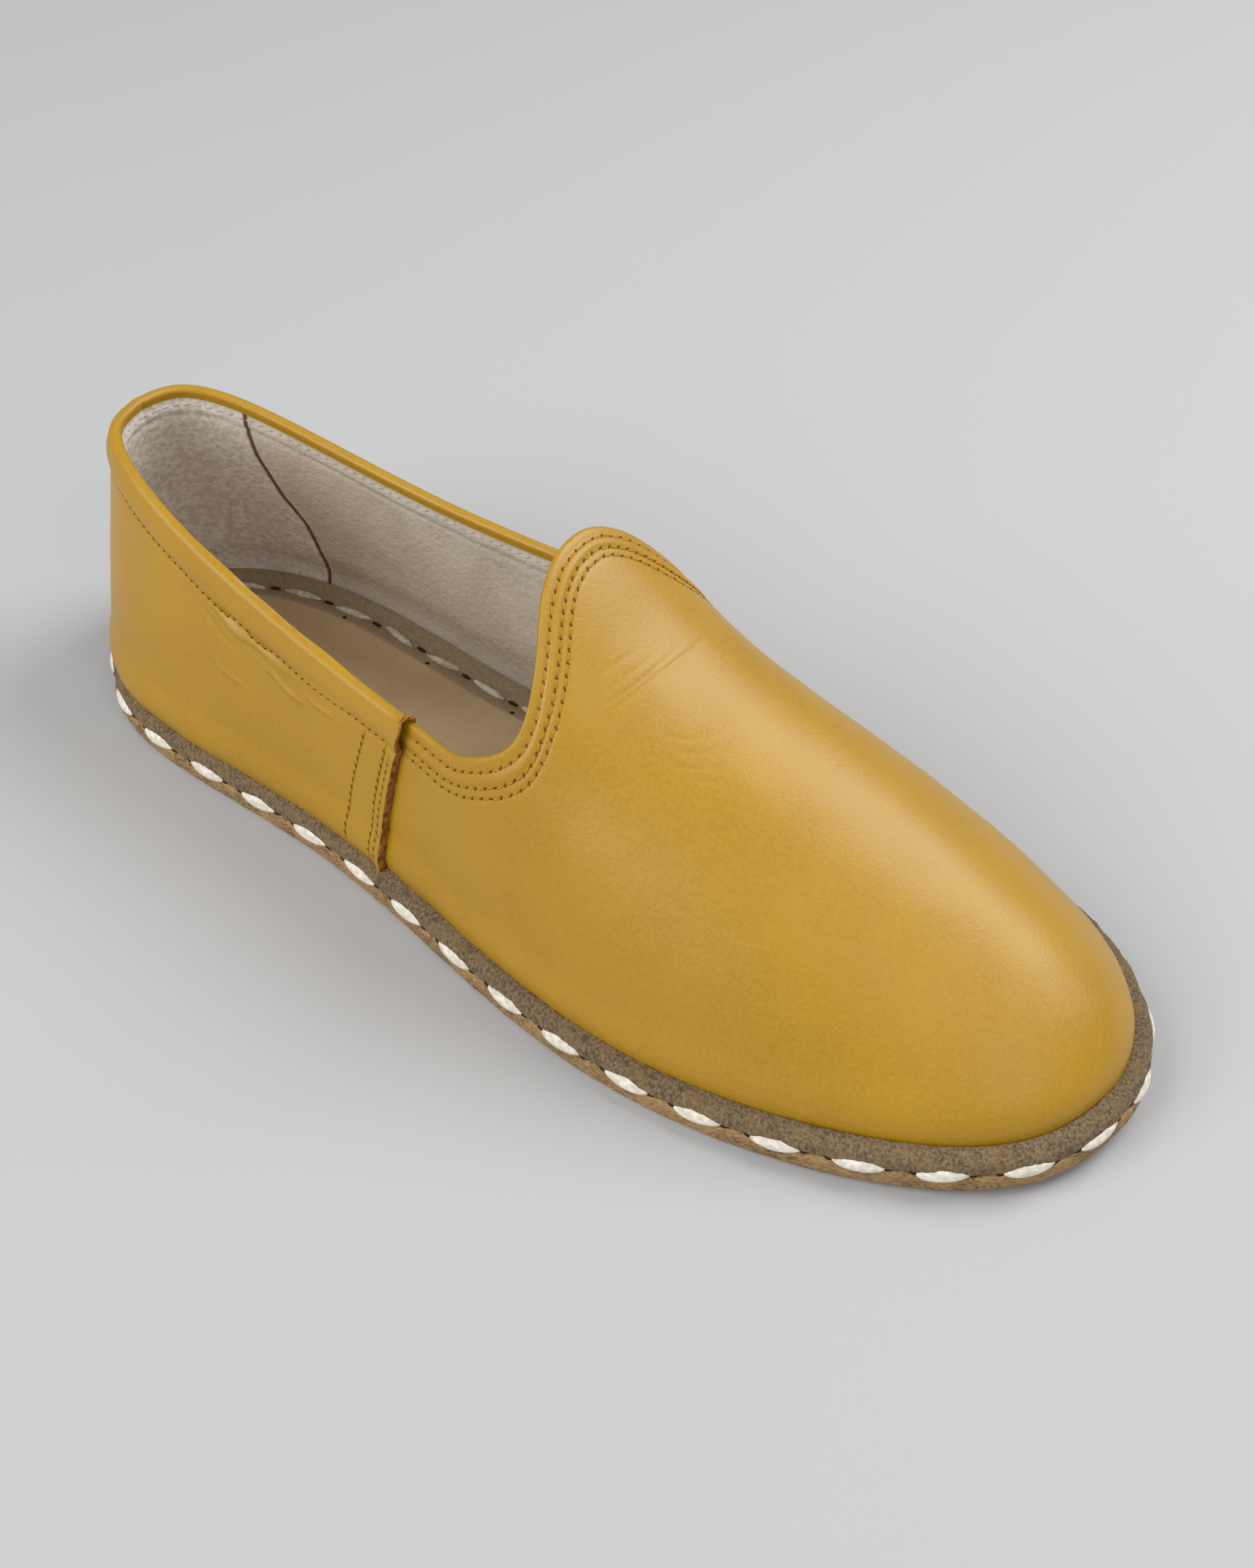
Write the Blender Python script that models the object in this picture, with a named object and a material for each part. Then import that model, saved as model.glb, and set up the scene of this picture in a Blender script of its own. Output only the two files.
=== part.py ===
"""Hand-stitched leather slip-on shoe for the right foot, standing on its sole.

Run with: blender --background --factory-startup --python part.py
Metres, +Z up, +X towards the toe, -Y the outer side of the foot. The origin is on the floor,
under the middle of the outsole. Four pieces: outsole, rand, insole and upper.
"""

import bpy
import numpy as np

# Driving sizes of the shoe, in metres
SHOE_LENGTH = 0.2835
BALL_WIDTH = 0.102
HEEL_HEIGHT = 0.067
INSTEP_HEIGHT = 0.0915
TOE_SPRING = 0.003
SOLE_THICKNESS = 0.0045
SOLE_EDGE_ROUND = 0.0014
RAND_HEIGHT = 0.0044
RAND_REACH_TOE = 0.0050
RAND_REACH_SIDE = 0.0042
RAND_REACH_HEEL = 0.0019
INSOLE_THICKNESS = 0.0026
WALL = 0.0022
QUARTER_LAP = 0.0012
COLLAR_ROLL = 0.0034
COLLAR_DEPTH = 0.0070
WALL_BULGE = 0.0010
BULGE_HEIGHT = 0.016
SEAT_GAP = 0.0003

# Side seam: share of the length where the quarter's front edge meets the rand, how far forward
# it leans at the top, and the width in plan of the step down to the vamp
SEAM_ALONG = 0.409
SEAM_LEAN = 0.031
SEAM_STEP = 0.0004

# Mesh density: samples from heel to seam and from seam to toe, rows up the wall, rows over the rim
HEEL_SAMPLES = 20
VAMP_SAMPLES = 34
WALL_ROWS = 13
RIM_ROWS = 4
FINE = 400

# Outline of the outsole, anticlockwise from the back of the heel:
# (share of shoe length, share of ball width, + towards the inner side)
SOLE_OUTLINE = (
    (0.000, 0.000),  # back of the heel
    (0.054, -0.244),
    (0.146, -0.353),  # outer side of the heel
    (0.336, -0.372),  # outer waist
    (0.517, -0.456),
    (0.659, -0.505),  # little toe joint
    (0.800, -0.459),
    (0.926, -0.319),
    (0.989, -0.132),
    (0.999, 0.133),  # tip of the toe
    (0.955, 0.338),
    (0.871, 0.478),
    (0.739, 0.498),  # great toe joint
    (0.557, 0.418),
    (0.376, 0.350),  # inner waist
    (0.144, 0.362),  # inner side of the heel
    (0.030, 0.200),
)

# Top edge of the quarter, from the back of the heel forward:
# (share of shoe length, half width as a share of ball width, share of heel height)
QUARTER_TOPLINE = (
    (0.040, 0.000, 1.042),
    (0.050, 0.095, 1.038),
    (0.084, 0.163, 1.009),
    (0.162, 0.222, 0.927),
    (0.296, 0.275, 0.827),
    (0.417, 0.319, 0.789),
    (0.537, 0.356, 0.769),
)

# Edge of the throat seen from the side, from the seam forward, then up to the peak of the tab:
# (share of shoe length, share of instep height)
THROAT_EDGE = (
    (0.387, 0.616),
    (0.437, 0.590),
    (0.479, 0.591),
    (0.518, 0.628),
    (0.543, 0.692),
    (0.543, 0.797),
    (0.529, 0.900),
    (0.509, 1.000),
)

# Crest of the vamp, from the ankle down to the toe, before its end on the feather line:
# (share of shoe length, share of instep height, share of ball width across)
CREST = (
    (0.346, 1.290, 0.000),
    (0.437, 1.115, 0.003),
    (0.509, 1.000, 0.008),
    (0.599, 0.784, 0.030),
    (0.714, 0.638, 0.060),
    (0.805, 0.518, 0.080),
    (0.891, 0.395, 0.088),
    (0.944, 0.306, 0.080),
    (0.973, 0.226, 0.064),
)

# Fullness of the vamp's sections: (share of shoe length, side fullness, crown fullness)
SECTION_FULLNESS = (
    (0.35, 0.65, 0.68),
    (0.52, 0.69, 0.71),
    (0.70, 0.54, 0.56),
    (0.88, 0.47, 0.43),
    (1.00, 0.57, 0.53),
)

# Section of the rand, from its inner foot round to its inner top: (share of reach, share of height)
RAND_SECTION = (
    (0.00, 0.00),
    (0.86, 0.00),
    (1.00, 0.16),
    (0.97, 0.42),
    (0.80, 0.70),
    (0.45, 0.93),
    (0.00, 1.00),
)

# Colour and roughness of each piece
FINISHES = {
    "outsole": ((0.30, 0.18, 0.08, 1.0), 0.75),
    "rand": ((0.13, 0.10, 0.07, 1.0), 0.95),
    "insole": ((0.33, 0.22, 0.12, 1.0), 0.70),
    "upper": ((0.52, 0.30, 0.06, 1.0), 0.42),
}


def ease(value, low, high):
    """Smooth step from 0 at low to 1 at high."""
    t = np.clip((value - low) / (high - low), 0.0, 1.0)
    return t * t * (3.0 - 2.0 * t)


def resampled(curve, shares):
    """Points of a polyline at shares of its length."""
    run = np.concatenate([[0.0], np.cumsum(np.linalg.norm(np.diff(curve, axis=0), axis=1))])
    return np.stack([np.interp(shares * run[-1], run, column) for column in curve.T], axis=1)


def spline(rows, closed=False, count=FINE):
    """Even points along a smooth cubic through the rows."""
    points = np.array(rows, float)
    if closed:
        points = np.vstack([points, points[:1]])
    n = len(points)
    steps = np.linalg.norm(np.diff(points, axis=0), axis=1) ** 0.5
    knots = np.concatenate([[0.0], np.cumsum(steps)])
    slopes = np.diff(points, axis=0) / steps[:, None]
    system = np.zeros((n, n))
    pull = np.zeros(points.shape)
    for i in range(1, n - 1):
        system[i, i - 1 : i + 2] = steps[i - 1], 2 * (steps[i - 1] + steps[i]), steps[i]
        pull[i] = 6 * (slopes[i] - slopes[i - 1])
    if closed:
        system[0, 0], system[0, -1] = 1, -1
        system[-1, [0, 1, -2, -1]] = 2 * steps[0], steps[0], steps[-1], 2 * steps[-1]
        pull[-1] = 6 * (slopes[0] - slopes[-1])
    else:
        system[0, 0] = system[-1, -1] = 1
    bend = np.linalg.solve(system, pull)
    at = np.linspace(0, knots[-1], 4 * count)
    k = np.clip(np.searchsorted(knots, at, side="right") - 1, 0, n - 2)
    before, after, step = (at - knots[k])[:, None], (knots[k + 1] - at)[:, None], steps[k][:, None]
    curve = (bend[k] * after**3 + bend[k + 1] * before**3) / (6 * step)
    curve += (points[k] / step - bend[k] * step / 6) * after
    curve += (points[k + 1] / step - bend[k + 1] * step / 6) * before
    return resampled(curve, np.linspace(0, 1, count))


def outward(curve):
    """Unit normals of a closed plan curve, pointing away from the shoe."""
    along = np.roll(curve[:-1], -1, axis=0) - np.roll(curve[:-1], 1, axis=0)
    along /= np.linalg.norm(along, axis=1)[:, None]
    normals = np.stack([along[:, 1], -along[:, 0]], axis=1)
    return np.vstack([normals, normals[:1]])


def sole_outline():
    """The closed edge of the outsole in plan with its box centred on the origin, and that centre."""
    rows = [(along * SHOE_LENGTH, across * BALL_WIDTH) for along, across in SOLE_OUTLINE]
    curve = spline(rows, closed=True, count=4 * FINE)
    centre = (curve.max(axis=0) + curve.min(axis=0)) / 2
    return curve - centre, centre


OUTLINE, CENTRE = sole_outline()
OUTWARD = outward(OUTLINE)
WALL_FOOT = SOLE_THICKNESS + SEAT_GAP


def station(share):
    """Place along the shoe of a share of its length."""
    return share * SHOE_LENGTH - CENTRE[0]


def lift(x):
    """Toe spring: how far the sole has risen from the floor at x."""
    ball, toe = station(0.68), station(1.0)
    return TOE_SPRING * np.clip((x - ball) / (toe - ball), 0.0, None) ** 2


def reach(x):
    """How far the outsole stands out from the upper at x."""
    back = RAND_REACH_HEEL + (RAND_REACH_SIDE - RAND_REACH_HEEL) * ease(x, station(0.0), station(0.16))
    return back + (RAND_REACH_TOE - RAND_REACH_SIDE) * ease(x, station(0.60), station(0.90))


FEATHER = OUTLINE - OUTWARD * reach(OUTLINE[:, 0])[:, None]
TOE = int(np.argmax(FEATHER[:, 0]))
HALVES = {-1: (FEATHER[: TOE + 1], OUTWARD[: TOE + 1]), 1: (FEATHER[TOE:][::-1], OUTWARD[TOE:][::-1])}


def crest_curve():
    """The top line of the vamp from ankle to toe, ending upright on the feather line."""
    tip = FEATHER[TOE]
    foot = WALL_FOOT + lift(tip[0])
    rows = [
        (station(along), across * BALL_WIDTH - CENTRE[1], height * INSTEP_HEIGHT)
        for along, height, across in CREST
    ]
    rows += [(tip[0], tip[1], foot + RAND_HEIGHT), (tip[0], tip[1], foot)]
    return spline(rows)


CREST_LINE = crest_curve()


def forward_only(x):
    """Places along a line that never turn back, so that they can be looked up."""
    return np.maximum.accumulate(x + np.arange(len(x)) * 1e-9)


def crest_at(x):
    """Across place and height of the crest at x."""
    along = forward_only(CREST_LINE[:, 0])
    return np.interp(x, along, CREST_LINE[:, 1]), np.interp(x, along, CREST_LINE[:, 2])


def feather_at(x, side):
    """Across place of the feather line at x, on one side of the shoe."""
    half = HALVES[side][0]
    return np.interp(x, forward_only(half[:, 0]), half[:, 1])


def vamp_point(x, rise, side):
    """Point of the last's surface: rise is 0 at the feather line and 1 on the crest."""
    foot_y, foot_z = feather_at(x, side), WALL_FOOT + lift(x)
    crest_y, crest_z = crest_at(x)
    table = np.array(SECTION_FULLNESS)
    side_full = np.interp(x, station(table[:, 0]), table[:, 1])
    crown_full = np.interp(x, station(table[:, 0]), table[:, 2])
    b0, b1, b2, b3 = (1 - rise) ** 3, 3 * (1 - rise) ** 2 * rise, 3 * (1 - rise) * rise**2, rise**3
    shoulder_y = crest_y + (foot_y - crest_y) * crown_full
    y = foot_y * (b0 + b1) + shoulder_y * b2 + crest_y * b3
    z = foot_z * b0 + (foot_z + side_full * (crest_z - foot_z)) * b1 + crest_z * (b2 + b3)
    return np.stack([x, y, z], axis=-1)


def throat_curve(side):
    """The throat's edge on the last as (x, rise) rows from the seam to the peak, and its length run."""
    profile = spline([(station(along), height * INSTEP_HEIGHT) for along, height in THROAT_EDGE])
    rises = np.linspace(0, 1, 201)
    heights = [vamp_point(np.full(201, x), rises, side)[:, 2] for x in profile[:, 0]]
    rise = [np.interp(z, column, rises) for z, column in zip(profile[:, 1], heights)]
    rise[-1] = 1.0
    rows = np.column_stack([profile[:, 0], rise])
    points = vamp_point(rows[:, 0], rows[:, 1], side)
    run = np.concatenate([[0.0], np.cumsum(np.linalg.norm(np.diff(points, axis=0), axis=1))])
    return rows, run


THROATS = {side: throat_curve(side) for side in (-1, 1)}
QUARTER_LINE = spline([(station(a), w * BALL_WIDTH, h * HEEL_HEIGHT) for a, w, h in QUARTER_TOPLINE])


def vamp_line(share, foot, side):
    """Line over the vamp from the feather line to the throat's edge, share 0 at the seam, 1 at the toe."""
    rows, run = THROATS[side]
    pace = 0.35 * share + 0.65 * (1 - (1 - share) ** 2.6)
    end_x = np.interp(pace * run[-1], run, rows[:, 0])
    end_rise = np.interp(pace * run[-1], run, rows[:, 1])
    start_width = abs(feather_at(foot[0], side) - crest_at(foot[0])[0])
    end_width = abs(feather_at(end_x, side) - crest_at(end_x)[0]) * (1 - end_rise)
    t = np.linspace(0, 1, FINE) ** 1.5
    x = foot[0] + (end_x - foot[0]) * t**1.8
    across = start_width + (end_width - start_width) * t
    width = np.maximum(np.abs(feather_at(x, side) - crest_at(x)[0]), 1e-7)
    rise = 1 - np.clip(across / width, 0.0, 1.0)
    if share >= 1.0:
        rise[:] = 1.0
    line = vamp_point(x, rise, side)
    line[0] = foot[0], foot[1], WALL_FOOT + lift(foot[0])
    return line


def quarter_line(index, side):
    """Line up the quarter from the feather line to the topline, upright at its foot."""
    seam_top = np.searchsorted(QUARTER_LINE[:, 0], station(SEAM_ALONG + SEAM_LEAN))
    place = index / seam_index(side) * seam_top
    top = np.array([np.interp(place, np.arange(FINE), column) for column in QUARTER_LINE.T])
    top[1] = side * top[1] - CENTRE[1]
    foot = HALVES[side][0][index]
    start = np.array([foot[0], foot[1], WALL_FOOT + lift(foot[0])])
    height = top[2] - start[2]
    low = start + (0, 0, 0.42 * height)
    high = np.append(0.75 * top[:2] + 0.25 * start[:2], top[2] - 0.30 * height)
    t = np.linspace(0, 1, FINE)[:, None]
    return start * (1 - t) ** 3 + low * 3 * (1 - t) ** 2 * t + high * 3 * (1 - t) * t**2 + top * t**3


def seam_index(side):
    """Index on one half of the feather line where the quarter's front edge stands."""
    return int(np.argmin(np.abs(HALVES[side][0][:, 0] - station(SEAM_ALONG))))


def half_samples(side):
    """Indices into one half of the feather line, heel to toe, with a close pair at the seam."""
    half, seam = HALVES[side][0], seam_index(side)
    pair = max(1, int(round(SEAM_STEP / np.linalg.norm(half[1] - half[0]) / 2)))
    back = np.linspace(0, seam - pair, HEEL_SAMPLES)
    front = np.linspace(seam + pair, len(half) - 1, VAMP_SAMPLES)
    return np.concatenate([back, front]).round().astype(int)


def wall_line(side, index):
    """One line of the upper's outer face, from the feather line to the topline, plumb behind the rand."""
    half, normals = HALVES[side]
    foot = half[index]
    start = int(np.argmin(np.abs(half[:, 0] - station(THROAT_EDGE[0][0] - SEAM_LEAN))))
    share = np.clip((index - start) / (len(half) - 1 - start), 0, 1)
    weight = ease(foot[0], station(0.38), station(0.52))
    even = np.linspace(0, 1, FINE)
    line = np.zeros((FINE, 3))
    if weight < 1:
        line += (1 - weight) * resampled(quarter_line(index, side), even)
    if weight > 0:
        line += weight * resampled(vamp_line(share, foot, side), even)
    height = np.clip((line[:, 2] - line[0, 2]) / BULGE_HEIGHT, 0, 1)
    line[:, :2] += np.outer(WALL_BULGE * np.sin(np.pi * height) ** 2, normals[index])
    run = np.concatenate([[0.0], np.cumsum(np.linalg.norm(np.diff(line, axis=0), axis=1))])
    first = np.interp(RAND_HEIGHT, line[:100, 2] - line[0, 2], run[:100]) / run[-1]
    roll = COLLAR_DEPTH / run[-1]
    crowd = 1.2 + 0.7 * ease(run[-1], 0.66 * INSTEP_HEIGHT, 1.75 * INSTEP_HEIGHT)
    rows = first + (1 - roll - first) * np.linspace(0, 1, WALL_ROWS - 2) ** crowd
    points = resampled(line, np.concatenate([[0.0], rows, [1 - 0.5 * roll, 1.0]]))
    points[1, :2] = foot
    return points


def ring_samples():
    """(side, index) of each line of the upper, round from the heel by the outer side to the toe and back."""
    outer = [(-1, i) for i in half_samples(-1)]
    inner = [(1, i) for i in half_samples(1)]
    return outer + inner[-2:0:-1]


def grid_normals(grid):
    """Unit normals of a grid of lines that closes around the shoe."""
    around = np.roll(grid, -1, axis=0) - np.roll(grid, 1, axis=0)
    normals = np.cross(around, np.gradient(grid, axis=1))
    return normals / np.maximum(np.linalg.norm(normals, axis=2), 1e-12)[..., None]


def upper_faces():
    """Outer and inner grids of the upper: the quarter stands proud of the vamp by its lap."""
    samples = ring_samples()
    base = np.array([wall_line(side, index) for side, index in samples])
    lap = np.array([QUARTER_LAP if index < seam_index(side) else 0.0 for side, index in samples])
    normals = grid_normals(base)
    run = np.cumsum(np.linalg.norm(np.diff(base, axis=1), axis=2), axis=1)
    run = np.concatenate([np.zeros((len(base), 1)), run], axis=1)
    roll = 1 - ease(run[:, -1:] - run, 0.45 * COLLAR_DEPTH, COLLAR_DEPTH)
    thickness = WALL + (COLLAR_ROLL - WALL) * roll
    inside = base - normals * thickness[..., None]
    inside[:, 0, 2] = WALL_FOOT + lift(inside[:, 0, 0])
    outside = base + normals * lap[:, None, None]
    outside[:, 0, 2] = WALL_FOOT + lift(outside[:, 0, 0])
    return outside, inside


def plan_at(face, height):
    """Plan points of one of the upper's faces at a height within the rand, one for each line."""
    share = np.clip(height / (face[:, 1, 2] - face[:, 0, 2]), 0, 1)[:, None]
    return face[:, 0, :2] + (face[:, 1, :2] - face[:, 0, :2]) * share


def loft(name, rings, closed_section=False):
    """Mesh through closed rings of points. A closed section joins the last ring to the first;
    otherwise both ends are filled with rungs from one side of the shoe to the other."""
    count, total = len(rings[0]), len(rings)
    faces = []
    for k in range(total if closed_section else total - 1):
        low, high = k * count, (k + 1) % total * count
        for i in range(count):
            j = (i + 1) % count
            faces.append((low + i, low + j, high + j, high + i))
    for first in [] if closed_section else (0, (total - 1) * count):
        for i in range(count // 2):
            rung = dict.fromkeys((i, i + 1, count - i - 1, (count - i) % count))
            face = [first + r for r in rung]
            faces.append(face[::-1] if first == 0 else face)
    mesh = bpy.data.meshes.new(name)
    mesh.from_pydata(np.concatenate(rings).tolist(), [], faces)
    mesh.validate()
    return bpy.data.objects.new(name, mesh)


def finish(part, collection):
    """Puts a piece in the shoe's collection, shaded smooth, with its own material."""
    colour, roughness = FINISHES[part.name]
    material = bpy.data.materials.new(part.name)
    material.use_nodes = True
    shader = material.node_tree.nodes["Principled BSDF"]
    shader.inputs["Base Color"].default_value = colour
    shader.inputs["Roughness"].default_value = roughness
    shader.inputs["Metallic"].default_value = 0.0
    part.data.materials.append(material)
    part.data.shade_smooth()
    part.data.set_sharp_from_angle(angle=np.radians(50))
    collection.objects.link(part)


def build_outsole(edge, normals):
    """Flat leather outsole: rounded tread edge and a bevelled top edge."""
    rings = []
    for inset, height in (
        (1.0, 0.0),
        (0.3, 0.3 * SOLE_EDGE_ROUND),
        (0.0, SOLE_EDGE_ROUND),
        (0.0, SOLE_THICKNESS - SOLE_EDGE_ROUND),
        (0.8, SOLE_THICKNESS),
    ):
        plan = edge - normals * inset * SOLE_EDGE_ROUND
        rings.append(np.column_stack([plan, height + lift(plan[:, 0])]))
    return loft("outsole", rings)


def build_rand(outside, edge, normals):
    """Suede strip round the foot of the upper, rounding down to the edge of the outsole."""
    rings = []
    for across, up in RAND_SECTION:
        start = plan_at(outside, up * RAND_HEIGHT) + normals * SEAT_GAP
        width = ((edge - start) * normals).sum(axis=1)
        plan = start + normals * (across * width)[:, None]
        rings.append(np.column_stack([plan, WALL_FOOT + up * RAND_HEIGHT + lift(plan[:, 0])]))
    return loft("rand", rings, closed_section=True)


def build_insole(inside, normals):
    """Insole board inside the foot of the wall, its upper edge eased."""
    low, high = plan_at(inside, 0.0), plan_at(inside, INSOLE_THICKNESS)
    inward = -np.maximum(((low - high) * normals).sum(axis=1), 0.0)[:, None] * normals
    rings = []
    for gaps, up in ((1.0, 0.0), (1.0, 0.75), (3.5, 1.0)):
        plan = low + inward - normals * SEAT_GAP * gaps
        height = WALL_FOOT + up * INSOLE_THICKNESS + lift(plan[:, 0])
        rings.append(np.column_stack([plan, height]))
    return loft("insole", rings)


def build_upper(outside, inside):
    """Hollow leather upper: up the outside, over the rolled rim and down the inside."""
    top_out, top_in = outside[:, -1], inside[:, -1]
    up = outside[:, -1] - outside[:, -2]
    up /= np.linalg.norm(up, axis=1)[:, None]
    middle, half = (top_out + top_in) / 2, (top_out - top_in) / 2
    radius = np.linalg.norm(half, axis=1)[:, None]
    rings = list(outside.transpose(1, 0, 2))
    for turn in np.linspace(0, np.pi, RIM_ROWS + 2)[1:-1]:
        rings.append(middle + half * np.cos(turn) + up * radius * 0.8 * np.sin(turn))
    rings += list(inside.transpose(1, 0, 2)[::-1])
    return loft("upper", rings, closed_section=True)


def main():
    for old in list(bpy.data.objects):
        bpy.data.objects.remove(old)
    shoe = bpy.data.collections.new("slip_on_shoe")
    bpy.context.scene.collection.children.link(shoe)
    outside, inside = upper_faces()
    ring = [index if side < 0 else len(FEATHER) - 1 - index for side, index in ring_samples()]
    edge, normals = OUTLINE[ring], OUTWARD[ring]
    finish(build_outsole(edge, normals), shoe)
    finish(build_rand(outside, edge, normals), shoe)
    finish(build_insole(inside, normals), shoe)
    finish(build_upper(outside, inside), shoe)


main()
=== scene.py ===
"""A hand-stitched leather slip-on shoe for the right foot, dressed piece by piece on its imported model.

Metres, +Z up, +X towards the toe, -Y the outer side of the foot, floor at Z 0. Every curve of the
shoe runs round it the same way: from the back of the heel by the outer side to the toe and back.
"""

import bpy
import numpy as np
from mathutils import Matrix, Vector, kdtree, noise


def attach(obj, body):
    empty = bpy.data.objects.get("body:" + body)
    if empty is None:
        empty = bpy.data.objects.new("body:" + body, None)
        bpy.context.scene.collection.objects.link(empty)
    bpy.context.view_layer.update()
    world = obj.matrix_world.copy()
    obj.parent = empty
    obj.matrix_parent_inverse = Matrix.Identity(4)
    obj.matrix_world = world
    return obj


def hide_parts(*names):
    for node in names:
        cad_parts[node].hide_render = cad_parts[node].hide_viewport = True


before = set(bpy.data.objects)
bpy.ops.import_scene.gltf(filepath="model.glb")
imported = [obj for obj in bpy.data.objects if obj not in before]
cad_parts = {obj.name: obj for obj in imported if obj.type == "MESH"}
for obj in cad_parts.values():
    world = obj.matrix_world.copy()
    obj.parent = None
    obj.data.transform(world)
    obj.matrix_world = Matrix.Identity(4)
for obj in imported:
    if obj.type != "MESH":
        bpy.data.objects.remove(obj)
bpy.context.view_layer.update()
bpy.ops.object.select_all(action="DESELECT")

# Camera: stands in front of the toe on the outer side, with the photograph's angle and slight roll,
# and is aimed at the middle of the shoe.
camera_place = Vector((0.23555, -0.28803, 0.37541))
camera_aim = Vector((0.016, 0.0, 0.030))
camera_azimuth, camera_elevation, camera_roll = np.radians((33.82, 42.88, 2.53))
level = Vector((np.cos(camera_azimuth), np.sin(camera_azimuth), 0))
away = Vector((np.sin(camera_azimuth) * np.cos(camera_elevation),
               -np.cos(camera_azimuth) * np.cos(camera_elevation), np.sin(camera_elevation)))
upright = away.cross(level) * np.cos(camera_roll) - level * np.sin(camera_roll)
backward = (camera_place - camera_aim).normalized()
rightward = upright.cross(backward).normalized()
camera = bpy.data.objects.new("camera", bpy.data.cameras.new("camera"))
bpy.context.scene.collection.objects.link(camera)
camera.data.sensor_width = 36
camera.data.lens = 52
camera.data.clip_start = 0.02
camera.matrix_world = [
    (rightward[k], backward.cross(rightward)[k], backward[k], camera_place[k]) for k in range(3)
] + [(0, 0, 0, 1)]
camera.matrix_world.transpose()
bpy.context.scene.camera = camera

# Studio: a plain pale sweep of matt paper, a large soft light above and behind the shoe, softer ones
# in front of its outer side and of its toe, and an even grey sky.
bpy.context.scene.view_settings.view_transform = "Standard"
bpy.ops.mesh.primitive_plane_add(size=6, location=(0, 0, 0))
floor = bpy.context.object
floor.name = "paper_floor"
paper = bpy.data.materials.new("pale_paper")
paper.use_nodes = True
paper_look = {"Base Color": (0.475, 0.476, 0.478, 1), "Roughness": 0.9, "Specular IOR Level": 0.1}
for socket, value in paper_look.items():
    paper.node_tree.nodes["Principled BSDF"].inputs[socket].default_value = value
floor.data.materials.append(paper)
sky = bpy.data.worlds.new("studio")
sky.use_nodes = True
sky.node_tree.nodes["Background"].inputs["Color"].default_value = (0.95, 0.97, 1.0, 1)
sky.node_tree.nodes["Background"].inputs["Strength"].default_value = 0.40
bpy.context.scene.world = sky
for lamp_name, place, size, watts in (
    ("overhead_light", (0.42, 0.66, 0.98), 0.9, 11.0),
    ("front_light", (-0.55, -1.20, 1.05), 1.3, 19.5),
    ("toe_light", (1.05, -0.40, 1.05), 0.8, 3.0),
):
    bpy.ops.object.light_add(type="AREA", location=place)
    lamp = bpy.context.object
    lamp.name = lamp_name
    lamp.data.shape = "DISK"
    lamp.data.size = size
    lamp.data.energy = watts
    lamp.rotation_euler = (Vector(place) - Vector((0.02, 0, 0.03))).to_track_quat("Z", "Y").to_euler()
bpy.ops.object.select_all(action="DESELECT")

# Outsole: one flat layer of firm tan leather, cut to the outline of the foot, its edge trimmed by
# hand and burnished golden brown. It is laid as rows from the middle of its underside, round the
# edge and back to the middle of its top.
SHOE_LENGTH, BALL_WIDTH = 0.2835, 0.102
SOLE_THICKNESS, EDGE_ROUND, EDGE_BORDER, EDGE_WAVE = 0.0045, 0.0011, 0.0015, 0.00028
TOE_SPRING, SPRING_START = 0.003, 0.68
SOLE_OUTLINE = (  # share of shoe length, share of ball width, + towards the inner side
    (0.000, 0.000), (0.054, -0.244), (0.146, -0.353), (0.336, -0.372), (0.517, -0.456),
    (0.659, -0.505), (0.800, -0.459), (0.926, -0.319), (0.989, -0.132), (0.999, 0.133),
    (0.955, 0.338), (0.871, 0.478), (0.739, 0.498), (0.557, 0.418), (0.376, 0.350),
    (0.144, 0.362), (0.030, 0.200),
)


def ease(value, low, high):
    """Smooth step from 0 at low to 1 at high."""
    t = np.clip((value - low) / (high - low), 0.0, 1.0)
    return t * t * (3.0 - 2.0 * t)


def length_along(line):
    """Distance from the start of a line to each of its points."""
    return np.concatenate([[0.0], np.cumsum(np.linalg.norm(np.diff(line, axis=0), axis=1))])


def resampled(line, shares):
    """Points of a line at shares of its length."""
    run = length_along(line)
    return np.stack([np.interp(shares * run[-1], run, column) for column in line.T], axis=1)


def spline(rows, closed=False, count=400):
    """Even points along a smooth cubic through the rows."""
    points = np.array(rows, float)
    if closed:
        points = np.vstack([points, points[:1]])
    n = len(points)
    steps = np.linalg.norm(np.diff(points, axis=0), axis=1) ** 0.5
    knots = np.concatenate([[0.0], np.cumsum(steps)])
    slopes = np.diff(points, axis=0) / steps[:, None]
    system, pull = np.zeros((n, n)), np.zeros(points.shape)
    for i in range(1, n - 1):
        system[i, i - 1 : i + 2] = steps[i - 1], 2 * (steps[i - 1] + steps[i]), steps[i]
        pull[i] = 6 * (slopes[i] - slopes[i - 1])
    if closed:
        system[0, 0], system[0, -1] = 1, -1
        system[-1, [0, 1, -2, -1]] = 2 * steps[0], steps[0], steps[-1], 2 * steps[-1]
        pull[-1] = 6 * (slopes[0] - slopes[-1])
    else:
        system[0, 0] = system[-1, -1] = 1
    bend = np.linalg.solve(system, pull)
    at = np.linspace(0, knots[-1], 4 * count)
    k = np.clip(np.searchsorted(knots, at, side="right") - 1, 0, n - 2)
    before, after, step = (at - knots[k])[:, None], (knots[k + 1] - at)[:, None], steps[k][:, None]
    curve = (bend[k] * after**3 + bend[k + 1] * before**3) / (6 * step)
    curve += (points[k] / step - bend[k] * step / 6) * after
    curve += (points[k + 1] / step - bend[k + 1] * step / 6) * before
    return resampled(curve, np.linspace(0, 1, count))


def station(share):
    """Place along the shoe of a share of its length."""
    return share * SHOE_LENGTH - centre[0]


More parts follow.
